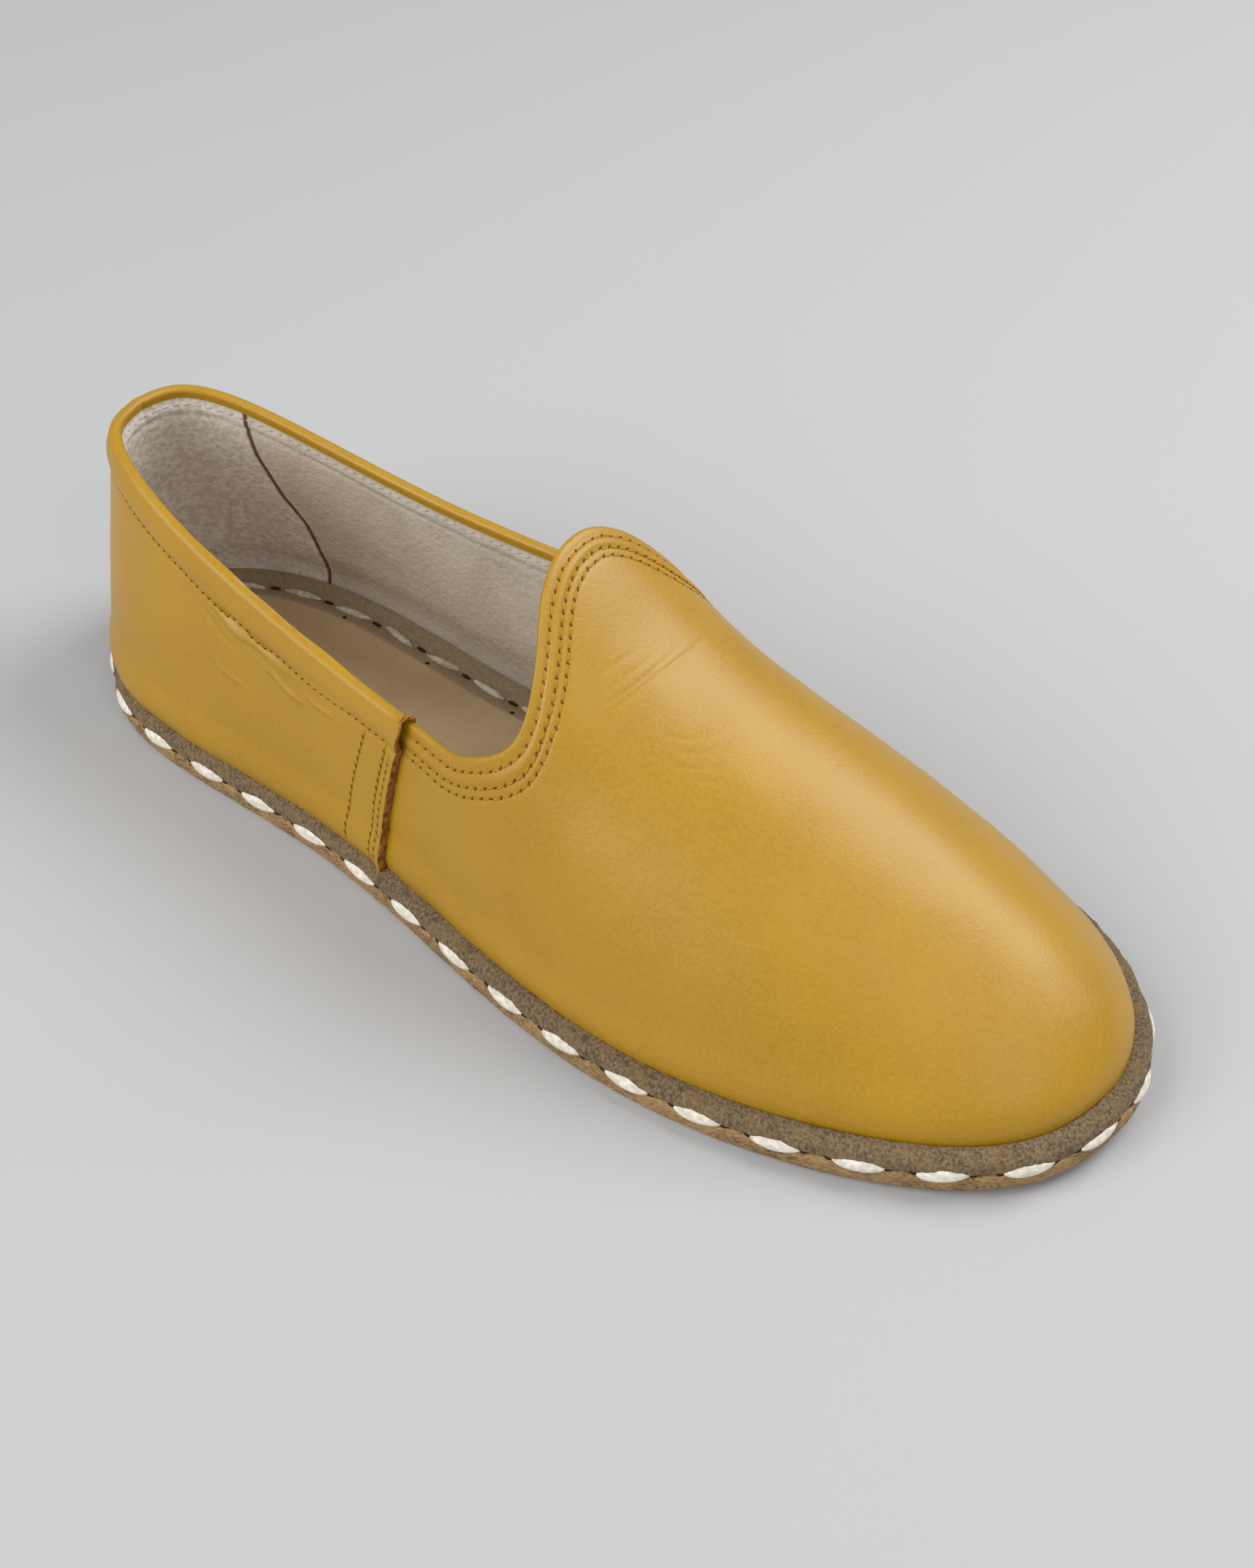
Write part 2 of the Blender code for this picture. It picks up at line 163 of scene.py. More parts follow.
def lift(x):
    """Toe spring: how far the sole has risen from the floor at x."""
    ball, toe = station(SPRING_START), station(1.0)
    return TOE_SPRING * np.clip((x - ball) / (toe - ball), 0.0, None) ** 2


def roughness_of(places, size, seed=0.0):
    """Smooth noise from -1 to 1 at each place, with lumps of about this size."""
    flat = places.reshape(-1, 3) / size + seed
    return np.array([noise.noise(row) for row in flat.tolist()]).reshape(places.shape[:-1])


def lay_sheet(name, places, flat=None):
    """A grid laid at places[line, row]: it faces outwards where lines run round and rows run up."""
    lines, rows = places.shape[:2]
    bpy.ops.mesh.primitive_grid_add(x_subdivisions=lines - 1, y_subdivisions=rows - 1, size=1)
    piece = bpy.context.object
    piece.name = piece.data.name = name
    piece.data.vertices.foreach_set("co", places.transpose(1, 0, 2).reshape(-1))
    if flat is not None:
        corners = np.empty(len(piece.data.loops), int)
        piece.data.loops.foreach_get("vertex_index", corners)
        laid_flat = flat.transpose(1, 0, 2).reshape(-1, 2)[corners]
        piece.data.uv_layers[0].data.foreach_set("uv", laid_flat.reshape(-1))
    piece.data.update()
    return piece


def edit_all(operator, **options):
    """Runs an edit-mode operator on all of the active piece."""
    bpy.ops.object.mode_set(mode="EDIT")
    bpy.ops.mesh.select_all(action="SELECT")
    operator(**options)
    bpy.ops.object.mode_set(mode="OBJECT")


def join_ends():
    """Merges the rows and lines of the active sheet that meet."""
    edit_all(bpy.ops.mesh.remove_doubles, threshold=2e-6)
    bpy.ops.object.shade_smooth()


def give_thickness(piece, thickness):
    """Gives an open sheet its thickness behind its face."""
    wall = piece.modifiers.new("thickness", "SOLIDIFY")
    wall.thickness, wall.offset = thickness, -1
    bpy.ops.object.modifier_apply(modifier=wall.name)
    bpy.ops.object.shade_smooth_by_angle(angle=np.radians(50))


def new_material(name, roughness, specular=0.35):
    """An empty Principled material, and the calls that add and join its nodes."""
    made = bpy.data.materials.new(name)
    made.use_nodes = True
    tree = made.node_tree

    def finish(wires, target=tree.nodes["Principled BSDF"]):
        """Links or sets the inputs of a node."""
        for socket, source in dict(wires).items():
            if isinstance(source, bpy.types.NodeSocket):
                tree.links.new(source, target.inputs[socket])
            else:
                target.inputs[socket].default_value = source

    def node(kind, wires=(), **values):
        new = tree.nodes.new("ShaderNode" + kind)
        for key, value in values.items():
            setattr(new, key, value)
        finish(wires, new)
        return new

    def speckle(size, detail=2.0, stretch=(1, 1, 1), source=None):
        if source is None:
            source = node("TexCoord").outputs["Object"]
        turned = node("Mapping", {"Vector": source, "Scale": [s / size for s in stretch]})
        return node("TexNoise", {"Vector": turned.outputs[0], "Scale": 1.0, "Detail": detail}).outputs["Fac"]

    def blend(share, first, second):
        mixed = node("Mix", {"Factor": share, "A": (*first, 1) if isinstance(first, tuple) else first,
                             "B": (*second, 1) if isinstance(second, tuple) else second}, data_type="RGBA")
        return mixed.outputs["Result"]

    def band(source, low, high, bottom=0.0, top=1.0):
        return node("MapRange", {"Value": source, "From Min": low, "From Max": high, "To Min": bottom,
                                 "To Max": top}, interpolation_type="SMOOTHSTEP").outputs[0]

    def bump(height, distance, under=None):
        wires = {"Height": height, "Distance": distance, "Strength": 1.0}
        if under is not None:
            wires["Normal"] = under
        return node("Bump", wires).outputs[0]

    finish({"Roughness": roughness, "Specular IOR Level": specular})
    return made, finish, node, speckle, blend, band, bump


outline = spline([(a * SHOE_LENGTH, w * BALL_WIDTH) for a, w in SOLE_OUTLINE], closed=True, count=1600)
centre = (outline.max(axis=0) + outline.min(axis=0)) / 2
outline = outline - centre
tangent = np.roll(outline[:-1], -1, axis=0) - np.roll(outline[:-1], 1, axis=0)
tangent /= np.linalg.norm(tangent, axis=1)[:, None]
facing = np.stack([tangent[:, 1], -tangent[:, 0]], axis=1)
facing = np.vstack([facing, facing[:1]])

turns = np.linspace(0, np.pi / 2, 5)
edge_rows = [(EDGE_ROUND * (1 - np.sin(a)), EDGE_ROUND * (1 - np.cos(a))) for a in turns]
edge_rows += [(0.0, h * SOLE_THICKNESS) for h in (0.4, 0.55, 0.7)]
edge_rows += [(EDGE_ROUND * (1 - np.cos(a)), SOLE_THICKNESS - EDGE_ROUND * (1 - np.sin(a))) for a in turns]
edge_rows = [(EDGE_ROUND + EDGE_BORDER, 0.0)] + edge_rows + [(EDGE_ROUND + EDGE_BORDER, SOLE_THICKNESS)]
sole_rows = []
for inset, height in edge_rows:
    plan = outline - facing * inset
    sole_rows.append(np.column_stack([plan, height + lift(plan[:, 0])]))
for end, height in ((0, 0.0), (-1, SOLE_THICKNESS)):
    rim_plan = sole_rows[end][:, :2]
    spine = (rim_plan + rim_plan[::-1]) / 2
    inner = []
    for share in (0.25, 0.5, 0.75, 1.0):
        plan = rim_plan + (spine - rim_plan) * share
        inner.append(np.column_stack([plan, height + lift(plan[:, 0])]))
    sole_rows = inner[::-1] + sole_rows if end == 0 else sole_rows + inner
sole_places = np.stack(sole_rows, axis=1)
rough = roughness_of(sole_places, 0.004) * 0.5 + roughness_of(sole_places, 0.0013, 7.0) * 0.5
sole_places[:, 4:-4, :2] += facing[:, None, :] * (rough[:, 4:-4, None] - 0.4) * EDGE_WAVE
outsole = lay_sheet("sole_leather", sole_places)
join_ends()
bpy.ops.object.shade_smooth_by_angle(angle=np.radians(60))

made, finish, node, speckle, blend, band, bump = new_material("tan_sole_leather", 0.62, 0.3)
fibre = speckle(0.0011, 4.0, (1, 1, 3.0))
mottle = speckle(0.006, 3.0)
edge_colour = blend(band(fibre, 0.3, 0.72), (0.12, 0.062, 0.022), (0.46, 0.285, 0.12))
edge_colour = blend(band(mottle, 0.35, 0.7, 0.0, 0.5), edge_colour, (0.52, 0.33, 0.14))
under_colour = blend(band(mottle, 0.3, 0.7), (0.36, 0.22, 0.13), (0.45, 0.29, 0.17))
facing_down = node("SeparateXYZ", {"Vector": node("NewGeometry").outputs["Normal"]}).outputs["Z"]
finish({"Base Color": blend(band(facing_down, -0.9, -0.5), under_colour, edge_colour),
        "Normal": bump(fibre, 0.0005)})
outsole.data.materials.append(made)
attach(outsole, "root")
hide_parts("outsole")

# Rand: a strip of grey-brown suede laid on the edge of the sole round the foot of the upper. It
# slopes down to the sole's edge, and the hand stitches draw it in where they pass through.
RAND_HEIGHT, REACH_TOE, REACH_SIDE, REACH_HEEL = 0.0044, 0.0050, 0.0042, 0.0019
SEAM_ALONG, QUARTER_LAP, SEAT_GAP, DRAW_IN = 0.409, 0.0012, 0.0003, 0.00055
STITCH_COUNT, FIRST_STITCH, STITCH_HEIGHT = 38, 0.432, 0.0052
RAND_SECTION = (  # share of reach, share of height
    (0.55, 0.00), (0.88, 0.02), (1.00, 0.16), (0.97, 0.40), (0.80, 0.68), (0.46, 0.90), (0.06, 1.00),
)
foot_level = SOLE_THICKNESS + SEAT_GAP
reach = REACH_HEEL + (REACH_SIDE - REACH_HEEL) * ease(outline[:, 0], station(0.0), station(0.16))
reach += (REACH_TOE - REACH_SIDE) * ease(outline[:, 0], station(0.60), station(0.90))
feather = outline - facing * reach[:, None]
outline_run = length_along(outline)
stitch_phase = outline_run / outline_run[-1] * STITCH_COUNT - FIRST_STITCH - 0.5
between = 0.5 + 0.5 * np.cos(2 * np.pi * stitch_phase)
lap_here = QUARTER_LAP * (1 - ease(feather[:, 0], station(SEAM_ALONG) - 0.0004, station(SEAM_ALONG) + 0.0012))
profile = spline(RAND_SECTION, count=26)
profile = np.vstack([[(0.0, 0.0), (0.25, 0.0)], profile, [(0.0, 0.97)]])
rand_rows = []
for across, up in profile:
    start = feather + facing * (SEAT_GAP + lap_here)[:, None]
    width = ((outline - start) * facing).sum(axis=1) - 0.0003
    rand_rows.append(np.column_stack([start + facing * (across * width)[:, None],
                                      foot_level + up * RAND_HEIGHT + lift(outline[:, 0])]))
rand_places = np.stack(rand_rows, axis=1)
level_here = rand_places[..., 2] - lift(outline[:, 0])[:, None]
draw_in = DRAW_IN * between[:, None] ** 6 * np.exp(-((level_here - 0.0058) / 0.0014) ** 2)
nap = roughness_of(rand_places, 0.0026) * 0.00016 + roughness_of(rand_places, 0.0009, 3.0) * 0.00012
free = ease(level_here - foot_level, 0.0, 0.0008)[..., None]
out = np.stack([facing[:, 0] * 0.8, facing[:, 1] * 0.8, np.full(len(facing), 0.6)], axis=1)[:, None]
rand_places += out * ((nap - draw_in)[..., None] * free)
rand = lay_sheet("suede_rand", np.concatenate([rand_places, rand_places[:, :1]], axis=1))
join_ends()

made, finish, node, speckle, blend, band, bump = new_material("grey_brown_suede", 0.95, 0.12)
fuzz, clouds, grit = speckle(0.0006, 3.0), speckle(0.0045, 3.0), speckle(0.0007, 3.0, (1, 1, 0.6))
suede_colour = blend(band(grit, 0.30, 0.70), (0.100, 0.066, 0.036), (0.255, 0.182, 0.105))
suede_colour = blend(band(clouds, 0.4, 0.7, 0.0, 0.45), suede_colour, (0.28, 0.180, 0.075))
finish({"Base Color": suede_colour, "Normal": bump(fuzz, 0.0005, bump(grit, 0.0005)),
        "Sheen Weight": 0.06, "Sheen Roughness": 0.6})
rand.data.materials.append(made)
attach(rand, "root")
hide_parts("rand")

# Hand stitches: thick waxed cream thread, sewn with one long slanting stitch after another
# through rand and sole. Each stitch is a flattened cord that narrows to its two holes.
STITCH_LENGTH, STITCH_WIDTH, STITCH_RISE = 0.0114, 0.0037, 0.0012


def sew(name, path, middles, length, width, rise, sides=8, rings=7, taper=1.0, slant=0.0, waver=0.0):
    """One mesh of stitches, bent along path = rows of (place, outward) with their middles on it."""
    bpy.ops.mesh.primitive_uv_sphere_add(segments=sides, ring_count=rings, radius=1)
    piece = bpy.context.object
    form = np.array([v.co for v in piece.data.vertices])
    faces = [tuple(p.vertices) for p in piece.data.polygons]
    ring = np.sqrt(np.maximum(1 - form[:, 2] ** 2, 0))
    form[:, :2] *= (ring ** (taper - 1) if taper > 1 else np.ones(len(form)))[:, None]
    run = length_along(path[:, :3])
    along = np.gradient(path[:, :3], axis=0)
    along /= np.maximum(np.linalg.norm(along, axis=1), 1e-12)[:, None]
    outs = path[:, 3:] / np.linalg.norm(path[:, 3:], axis=1)[:, None]
    side_ways = np.cross(outs, along)
    long_way, wide_way = form[:, 2] * length / 2, form[:, 0] * width / 2
    places = []
    for k, middle in enumerate(middles):
        turn = slant + waver * np.sin(k * 2.4 + 0.7)
        at = middle + long_way * np.cos(turn) - wide_way * np.sin(turn)
        point, normal, beside = (
            np.stack([np.interp(at, run, c) for c in rows.T], axis=1) for rows in (path[:, :3], outs, side_ways)
        )
        places.append(point + beside * (long_way * np.sin(turn) + wide_way * np.cos(turn))[:, None]
                      + normal * form[:, 1:2] * rise)
    count = len(form)
    mesh = bpy.data.meshes.new(name)
    mesh.from_pydata(np.concatenate(places).tolist(), [],
                     [tuple(v + k * count for v in f) for k in range(len(middles)) for f in faces])
    piece.data = mesh
    piece.name = name
    edit_all(bpy.ops.mesh.normals_make_consistent, inside=False)
    bpy.ops.object.shade_smooth()
    return piece


def closed_round(path, count, first, overlap=90):
    """A closed path carried on past both its ends, and the middles of count stitches spaced round it."""
    longer = np.vstack([path[-overlap:-1], path, path[1:overlap]])
    run = length_along(longer[:, :3])
    loop = run[-overlap] - run[overlap - 1]
    return longer, run[overlap - 1] + (np.arange(count) + first) * loop / count


stitch_path = np.column_stack([
    outline - facing * (0.0006 + 0.0002 * reach[:, None] / REACH_SIDE), STITCH_HEIGHT + lift(outline[:, 0]),
    facing * 0.78, np.full(len(outline), 0.62),
])
stitch_path, hand_middles = closed_round(stitch_path, STITCH_COUNT, FIRST_STITCH, overlap=60)
hand_stitches = sew("rand_stitches", stitch_path, hand_middles, STITCH_LENGTH, STITCH_WIDTH, STITCH_RISE,
                    sides=14, rings=15, slant=0.04, waver=0.05)
made, finish, node, speckle, blend, band, bump = new_material("waxed_cream_thread", 0.55, 0.35)
strands = speckle(0.0016, 3.0, (1, 1, 1.6))
thread_colour = blend(band(strands, 0.36, 0.66), (0.66, 0.60, 0.49), (0.88, 0.83, 0.73))
finish({"Base Color": thread_colour, "Normal": bump(speckle(0.0005, 2.0), 0.0002)})
hand_stitches.data.materials.append(made)
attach(hand_stitches, "root")

# Holes of the hand stitches: at each end of every stitch, where the thread goes down through rand and sole,
# a small near-black mark stands for the awl hole; its dark colour is painted shade of the hole.
HOLE_BEYOND = 0.0002
ends = np.array([-0.5, 0.5]) * (STITCH_LENGTH + 2 * HOLE_BEYOND)
hole_middles = np.sort((hand_middles[:, None] + ends).ravel())
hole_path = stitch_path.copy()
hole_path[:, :2] += hole_path[:, 3:5] * 0.00005
rand_holes = sew("rand_stitch_holes", hole_path, hole_middles, 0.0022, 0.0015, 0.0004)
# Near-black colour: painted shade standing for the inside of the awl holes.
made, finish, node, speckle, blend, band, bump = new_material("awl_hole_painted_shade", 0.9, 0.1)
finish({"Base Color": blend(speckle(0.0008), (0.022, 0.013, 0.007), (0.065, 0.038, 0.020))})
rand_holes.data.materials.append(made)
hole_shade_paint = made
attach(rand_holes, "root")

# Insole: a leather sock on its board, dark brown where it runs out to the wall, with a cut channel
# that holds the inner side of the hand stitches, and a lighter middle.
INSOLE_THICKNESS, WALL, WALL_TOUCH = 0.0026, 0.0022, 0.0001
CHANNEL_IN, CHANNEL_WIDE, CHANNEL_DEEP, MARGIN_CURL = 0.0045, 0.0013, 0.0006, 0.0018
insole_edge = feather - facing * (WALL + WALL_TOUCH)
insole_top = foot_level + INSOLE_THICKNESS


def sock_level(inset):
    """Height of the insole's face at a distance from its edge: curled up to the wall, with a channel."""
    dip = CHANNEL_DEEP * np.exp(-(((inset - CHANNEL_IN) / CHANNEL_WIDE) ** 2))
    return (insole_top + MARGIN_CURL * (1 - ease(inset, 0.0, 0.0045)) - dip
            + 0.0005 * ease(inset, CHANNEL_IN + 0.001, CHANNEL_IN + 0.004))


insole_rows, insole_flat = [], []
for share, inset, height in [(1.0, 0.0, foot_level), (0.5, 0.0, foot_level), (0.0, 0.0, foot_level)] + [
        (0.0, inset, sock_level(inset)) for inset in (0.0, 0.0003, *np.arange(0.0009, 0.0145, 0.0005))] + [
        (share, 0.0142, sock_level(0.0142)) for share in np.linspace(0, 1, 9)[1:]]:
    rim = insole_edge - facing * inset
    centre_line = (rim + rim[::-1]) / 2
    plan = rim + (centre_line - rim) * share
    to_centre = np.linalg.norm(centre_line - rim, axis=1)
    insole_rows.append(np.column_stack([plan, height + lift(plan[:, 0])]))
    insole_flat.append(np.column_stack([outline_run, inset + share * to_centre]))
insole_places, insole_uv = np.stack(insole_rows, axis=1)[::3], np.stack(insole_flat, axis=1)[::3]
insole = lay_sheet("insole_sock", insole_places, insole_uv)
join_ends()
bpy.ops.object.shade_smooth_by_angle(angle=np.radians(50))
made, finish, node, speckle, blend, band, bump = new_material("brown_sock_leather", 0.6, 0.3)
depth_in = node("SeparateXYZ", {"Vector": node("TexCoord").outputs["UV"]}).outputs["Y"]
grain, middle_mottle = speckle(0.0009, 3.0), speckle(0.02, 3.0)
# Darker towards the wall and lighter in the middle.
margin_colour = blend(band(grain, 0.3, 0.7), (0.22, 0.165, 0.090), (0.30, 0.225, 0.130))
middle_colour = blend(band(middle_mottle, 0.35, 0.65), (0.50, 0.350, 0.195), (0.57, 0.415, 0.240))
middle_colour = blend(band(grain, 0.2, 0.8, 0.0, 0.3), middle_colour, (0.42, 0.285, 0.16))
inner_margin = blend(band(grain, 0.3, 0.7), (0.30, 0.215, 0.125), (0.37, 0.27, 0.165))
margin_colour = blend(band(depth_in, CHANNEL_IN, CHANNEL_IN + 0.0012), margin_colour, inner_margin)
past_channel = band(depth_in, CHANNEL_IN + 0.0038, CHANNEL_IN + 0.0048)
finish({"Base Color": blend(past_channel, margin_colour, middle_colour), "Normal": bump(grain, 0.0002)})
insole.data.materials.append(made)
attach(insole, "root")
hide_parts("insole")

# Insole stitches: the inner side of the same cream thread, painted darker as painted shade, lying in the
# channel nearly end to end, with a near-black mark of painted shade for the hole where each stitch goes down
# and small marks of painted shade for the awl marks a little further in.
SOCK_STITCH, SOCK_HOLE = (0.0108, 0.0021, 0.0008), (0.0030, 0.0010, 0.0004)  # length, width, rise
AWL_MARK = (0.0013, 0.0012, 0.00016)
FIRST_SOCK_STITCH, AWL_COUNT, AWL_IN = 0.62, 20, CHANNEL_IN + 0.0034


def path_on_sock(inset, rise=0.0):
    """A closed path on the insole's face, at a distance from its edge and facing up."""
    plan = insole_edge - facing * inset
    height = sock_level(inset) + rise + lift(plan[:, 0])
    return np.column_stack([plan, height, np.zeros((len(plan), 2)), np.ones(len(plan))])


channel_path = path_on_sock(CHANNEL_IN, 0.0003)
channel_path, sock_middles = closed_round(channel_path, STITCH_COUNT, FIRST_SOCK_STITCH)
sock_stitches = sew("insole_stitches", channel_path, sock_middles, *SOCK_STITCH,
                    sides=12, rings=11, taper=1.1, waver=0.15)
# The rand's cream thread painted darker here: painted shade of the inside of the shoe.
made, finish, node, speckle, blend, band, bump = new_material("cream_thread_painted_shade", 0.7, 0.2)
strands = speckle(0.0014, 3.0, (1, 1, 1.6))
thread_colour = blend(band(strands, 0.36, 0.66), (0.47, 0.40, 0.30), (0.68, 0.61, 0.49))
finish({"Base Color": thread_colour, "Normal": bump(speckle(0.0005, 2.0), 0.0002)})
sock_stitches.data.materials.append(made)
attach(sock_stitches, "root")
half_way = (sock_middles[1] - sock_middles[0]) / 2
# A near-black mark of painted shade for each stitch's hole, then smaller ones for the awl marks.
sock_holes = sew("insole_stitch_holes", channel_path, sock_middles + half_way, *SOCK_HOLE)
sock_holes.data.materials.append(hole_shade_paint)
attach(sock_holes, "root")
awl_path, awl_middles = closed_round(path_on_sock(AWL_IN), AWL_COUNT, 0.35)
awl_marks = sew("insole_awl_marks", awl_path, awl_middles, *AWL_MARK, rings=5)
awl_marks.data.materials.append(hole_shade_paint)
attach(awl_marks, "root")

# Vamp: the mustard leather front of the upper, drawn over the last from the rand up to the throat
# and the tab, its edge folded in over itself. Flex creases cross it below the tab.
INSTEP_HEIGHT, HEEL_HEIGHT, SEAM_LEAN = 0.0915, 0.067, 0.031
WALL_BULGE, BULGE_HEIGHT = 0.0010, 0.016
THROAT_ROWS, ROW_PRESS, ROW_PUFF = (0.0017, 0.0046, 0.0063), 0.00020, 0.00026
VAMP_THICKNESS, VAMP_TUCK, VAMP_RIM = 0.0009, 0.0017, 0.0020
THROAT_EDGE = (  # share of shoe length, share of instep height, from the seam up to the tab's peak
    (0.387, 0.616), (0.437, 0.590), (0.479, 0.591), (0.518, 0.628), (0.543, 0.692), (0.543, 0.797),
    (0.529, 0.900), (0.509, 1.000),
)
QUARTER_TOPLINE = (  # share of shoe length, half width as a share of ball width, share of heel height
    (0.040, 0.000, 1.042), (0.050, 0.095, 1.038), (0.084, 0.163, 1.009), (0.162, 0.222, 0.927),
    (0.296, 0.275, 0.827), (0.417, 0.319, 0.789), (0.537, 0.356, 0.769),
)
CREST = (  # share of shoe length, share of instep height, share of ball width across
    (0.346, 1.290, 0.000), (0.437, 1.115, 0.003), (0.509, 1.000, 0.008), (0.599, 0.784, 0.030),
    (0.714, 0.638, 0.060), (0.805, 0.518, 0.080), (0.891, 0.395, 0.088), (0.944, 0.306, 0.080),
    (0.973, 0.226, 0.064),
)
SECTION_FULLNESS = (  # share of shoe length, side fullness, crown fullness
    (0.35, 0.65, 0.68), (0.52, 0.69, 0.71), (0.70, 0.54, 0.56), (0.88, 0.47, 0.43), (1.00, 0.57, 0.53),
)
toe = int(np.argmax(feather[:, 0]))
halves = {-1: (feather[: toe + 1], facing[: toe + 1]), 1: (feather[toe:][::-1], facing[toe:][::-1])}
tip = feather[toe]
crest_rows = [(station(a), w * BALL_WIDTH - centre[1], h * INSTEP_HEIGHT) for a, h, w in CREST]
crest_rows += [(tip[0], tip[1], foot_level + lift(tip[0]) + h) for h in (RAND_HEIGHT, 0.0)]
crest_line = spline(crest_rows)
crest_x = np.maximum.accumulate(crest_line[:, 0] + np.arange(len(crest_line)) * 1e-9)
quarter_top = spline([(station(a), w * BALL_WIDTH, h * HEEL_HEIGHT) for a, w, h in QUARTER_TOPLINE])


def feather_at(x, side):
    """Across place of the feather line at x, on one side of the shoe."""
    half = halves[side][0]
    return np.interp(x, np.maximum.accumulate(half[:, 0] + np.arange(len(half)) * 1e-9), half[:, 1])


def half_width_at(x, side):
    """Distance across from the crest to the feather line at x."""
    return np.abs(feather_at(x, side) - np.interp(x, crest_x, crest_line[:, 1]))


def on_last(x, rise, side):
    """Place on the last's surface: rise is 0 at the feather line and 1 on the crest."""
    foot_y, foot_z = feather_at(x, side), foot_level + lift(x)
    top_y, top_z = np.interp(x, crest_x, crest_line[:, 1]), np.interp(x, crest_x, crest_line[:, 2])
    table = np.array(SECTION_FULLNESS)
    side_full = np.interp(x, station(table[:, 0]), table[:, 1])
    crown_full = np.interp(x, station(table[:, 0]), table[:, 2])
    b0, b1, b2, b3 = (1 - rise) ** 3, 3 * (1 - rise) ** 2 * rise, 3 * (1 - rise) * rise**2, rise**3
    y = foot_y * (b0 + b1) + (top_y + (foot_y - top_y) * crown_full) * b2 + top_y * b3
    z = foot_z * b0 + (foot_z + side_full * (top_z - foot_z)) * b1 + top_z * (b2 + b3)
    return np.stack([x, y, z], axis=-1)


throats = {}
for side in (-1, 1):
    edge_side = spline([(station(a), h * INSTEP_HEIGHT) for a, h in THROAT_EDGE])
    rises = np.linspace(0, 1, 201)
    rise = [np.interp(z, on_last(np.full(201, x), rises, side)[:, 2], rises) for x, z in edge_side]
    rise[-1] = 1.0
    throats[side] = np.column_stack([edge_side[:, 0], rise])
seam_at = {side: int(np.argmin(np.abs(halves[side][0][:, 0] - station(SEAM_ALONG)))) for side in (-1, 1)}
vamp_start = {side: int(np.argmin(np.abs(halves[side][0][:, 0] - station(THROAT_EDGE[0][0] - SEAM_LEAN))))
              for side in (-1, 1)}


def over_vamp(share, foot, side):
    """Line over the front of the last, from the feather line to the throat's edge."""
    rows = throats[side]
    run = length_along(on_last(rows[:, 0], rows[:, 1], side))
    pace = 0.35 * share + 0.65 * (1 - (1 - share) ** 2.6)
    end_x, end_rise = (np.interp(pace * run[-1], run, column) for column in rows.T)
    start_width, end_width = half_width_at(foot[0], side), half_width_at(end_x, side) * (1 - end_rise)
    t = np.linspace(0, 1, 400) ** 1.5
    x = foot[0] + (end_x - foot[0]) * t**1.8
    width = np.maximum(half_width_at(x, side), 1e-7)
    rise = 1 - np.clip((start_width + (end_width - start_width) * t) / width, 0.0, 1.0)
    line = on_last(x, np.ones_like(rise) if share >= 1.0 else rise, side)
    line[0] = foot[0], foot[1], foot_level + lift(foot[0])
    return line


def up_quarter(index, side):
    """Line up the back of the last, from the feather line to the topline, upright at its foot."""
    seam_top = np.searchsorted(quarter_top[:, 0], station(SEAM_ALONG + SEAM_LEAN))
    top = np.array([np.interp(index / seam_at[side] * seam_top, np.arange(400), c) for c in quarter_top.T])
    top[1] = side * top[1] - centre[1]
    foot = halves[side][0][index]
    start = np.array([foot[0], foot[1], foot_level + lift(foot[0])])
    height = top[2] - start[2]
    high = np.append(0.75 * top[:2] + 0.25 * start[:2], top[2] - 0.30 * height)
    t = np.linspace(0, 1, 400)[:, None]
    return (start * (1 - t) ** 3 + (start + (0, 0, 0.42 * height)) * 3 * (1 - t) ** 2 * t
            + high * 3 * (1 - t) * t**2 + top * t**3)


def wall_line(side, index):
    """One fine line of the upper's outer face on the last, from the feather line to the topline."""
    half, normals = halves[side]
    foot = half[index]
    share = np.clip((index - vamp_start[side]) / (len(half) - 1 - vamp_start[side]), 0, 1)
    weight = ease(foot[0], station(0.38), station(0.52))
    line = np.zeros((400, 3))
    if weight < 1:
        line += (1 - weight) * resampled(up_quarter(index, side), np.linspace(0, 1, 400))
    if weight > 0:
        line += weight * resampled(over_vamp(share, foot, side), np.linspace(0, 1, 400))
    height = np.clip((line[:, 2] - line[0, 2]) / BULGE_HEIGHT, 0, 1)
    line[:, :2] += np.outer(WALL_BULGE * np.sin(np.pi * height) ** 2, normals[index])
    return line


def wall_sheet(samples, near, near_step, far_rows):
    """Wall lines cut into rows: even near the top edge, then shares of what is left down to the
    foot. Gives places, unit normals and distance down from the edge, rows running up."""
    close = np.arange(0, near + 1e-9, near_step)
    places, depths = [], []
    for side, index in samples:
        line = wall_line(side, index)
        run = length_along(line)
        far = near + (run[-1] - near) * np.linspace(0, 1, far_rows + 1)[1:]
        down = np.concatenate([close, far])[::-1]
        places.append(np.stack([np.interp(run[-1] - down, run, c) for c in line.T], axis=1))
        depths.append(down)
    places, depths = np.array(places), np.array(depths)
    round_the_shoe = np.gradient(places, axis=0)
    if samples[0] == samples[-1]:
        round_the_shoe[0] = round_the_shoe[-1] = places[1] - places[-2]
    normals = np.cross(round_the_shoe, np.gradient(places, axis=1))
    normals /= np.maximum(np.linalg.norm(normals, axis=2), 1e-12)[..., None]
    return places, normals, depths


def distance_to(places, targets):
    """Distance of each place from the nearest of the targets."""
    tree = kdtree.KDTree(len(targets))
    for k, target in enumerate(targets):
        tree.insert(target, k)
    tree.balance()
    return np.array([tree.find(p)[2] for p in places.reshape(-1, 3).tolist()]).reshape(places.shape[:-1])


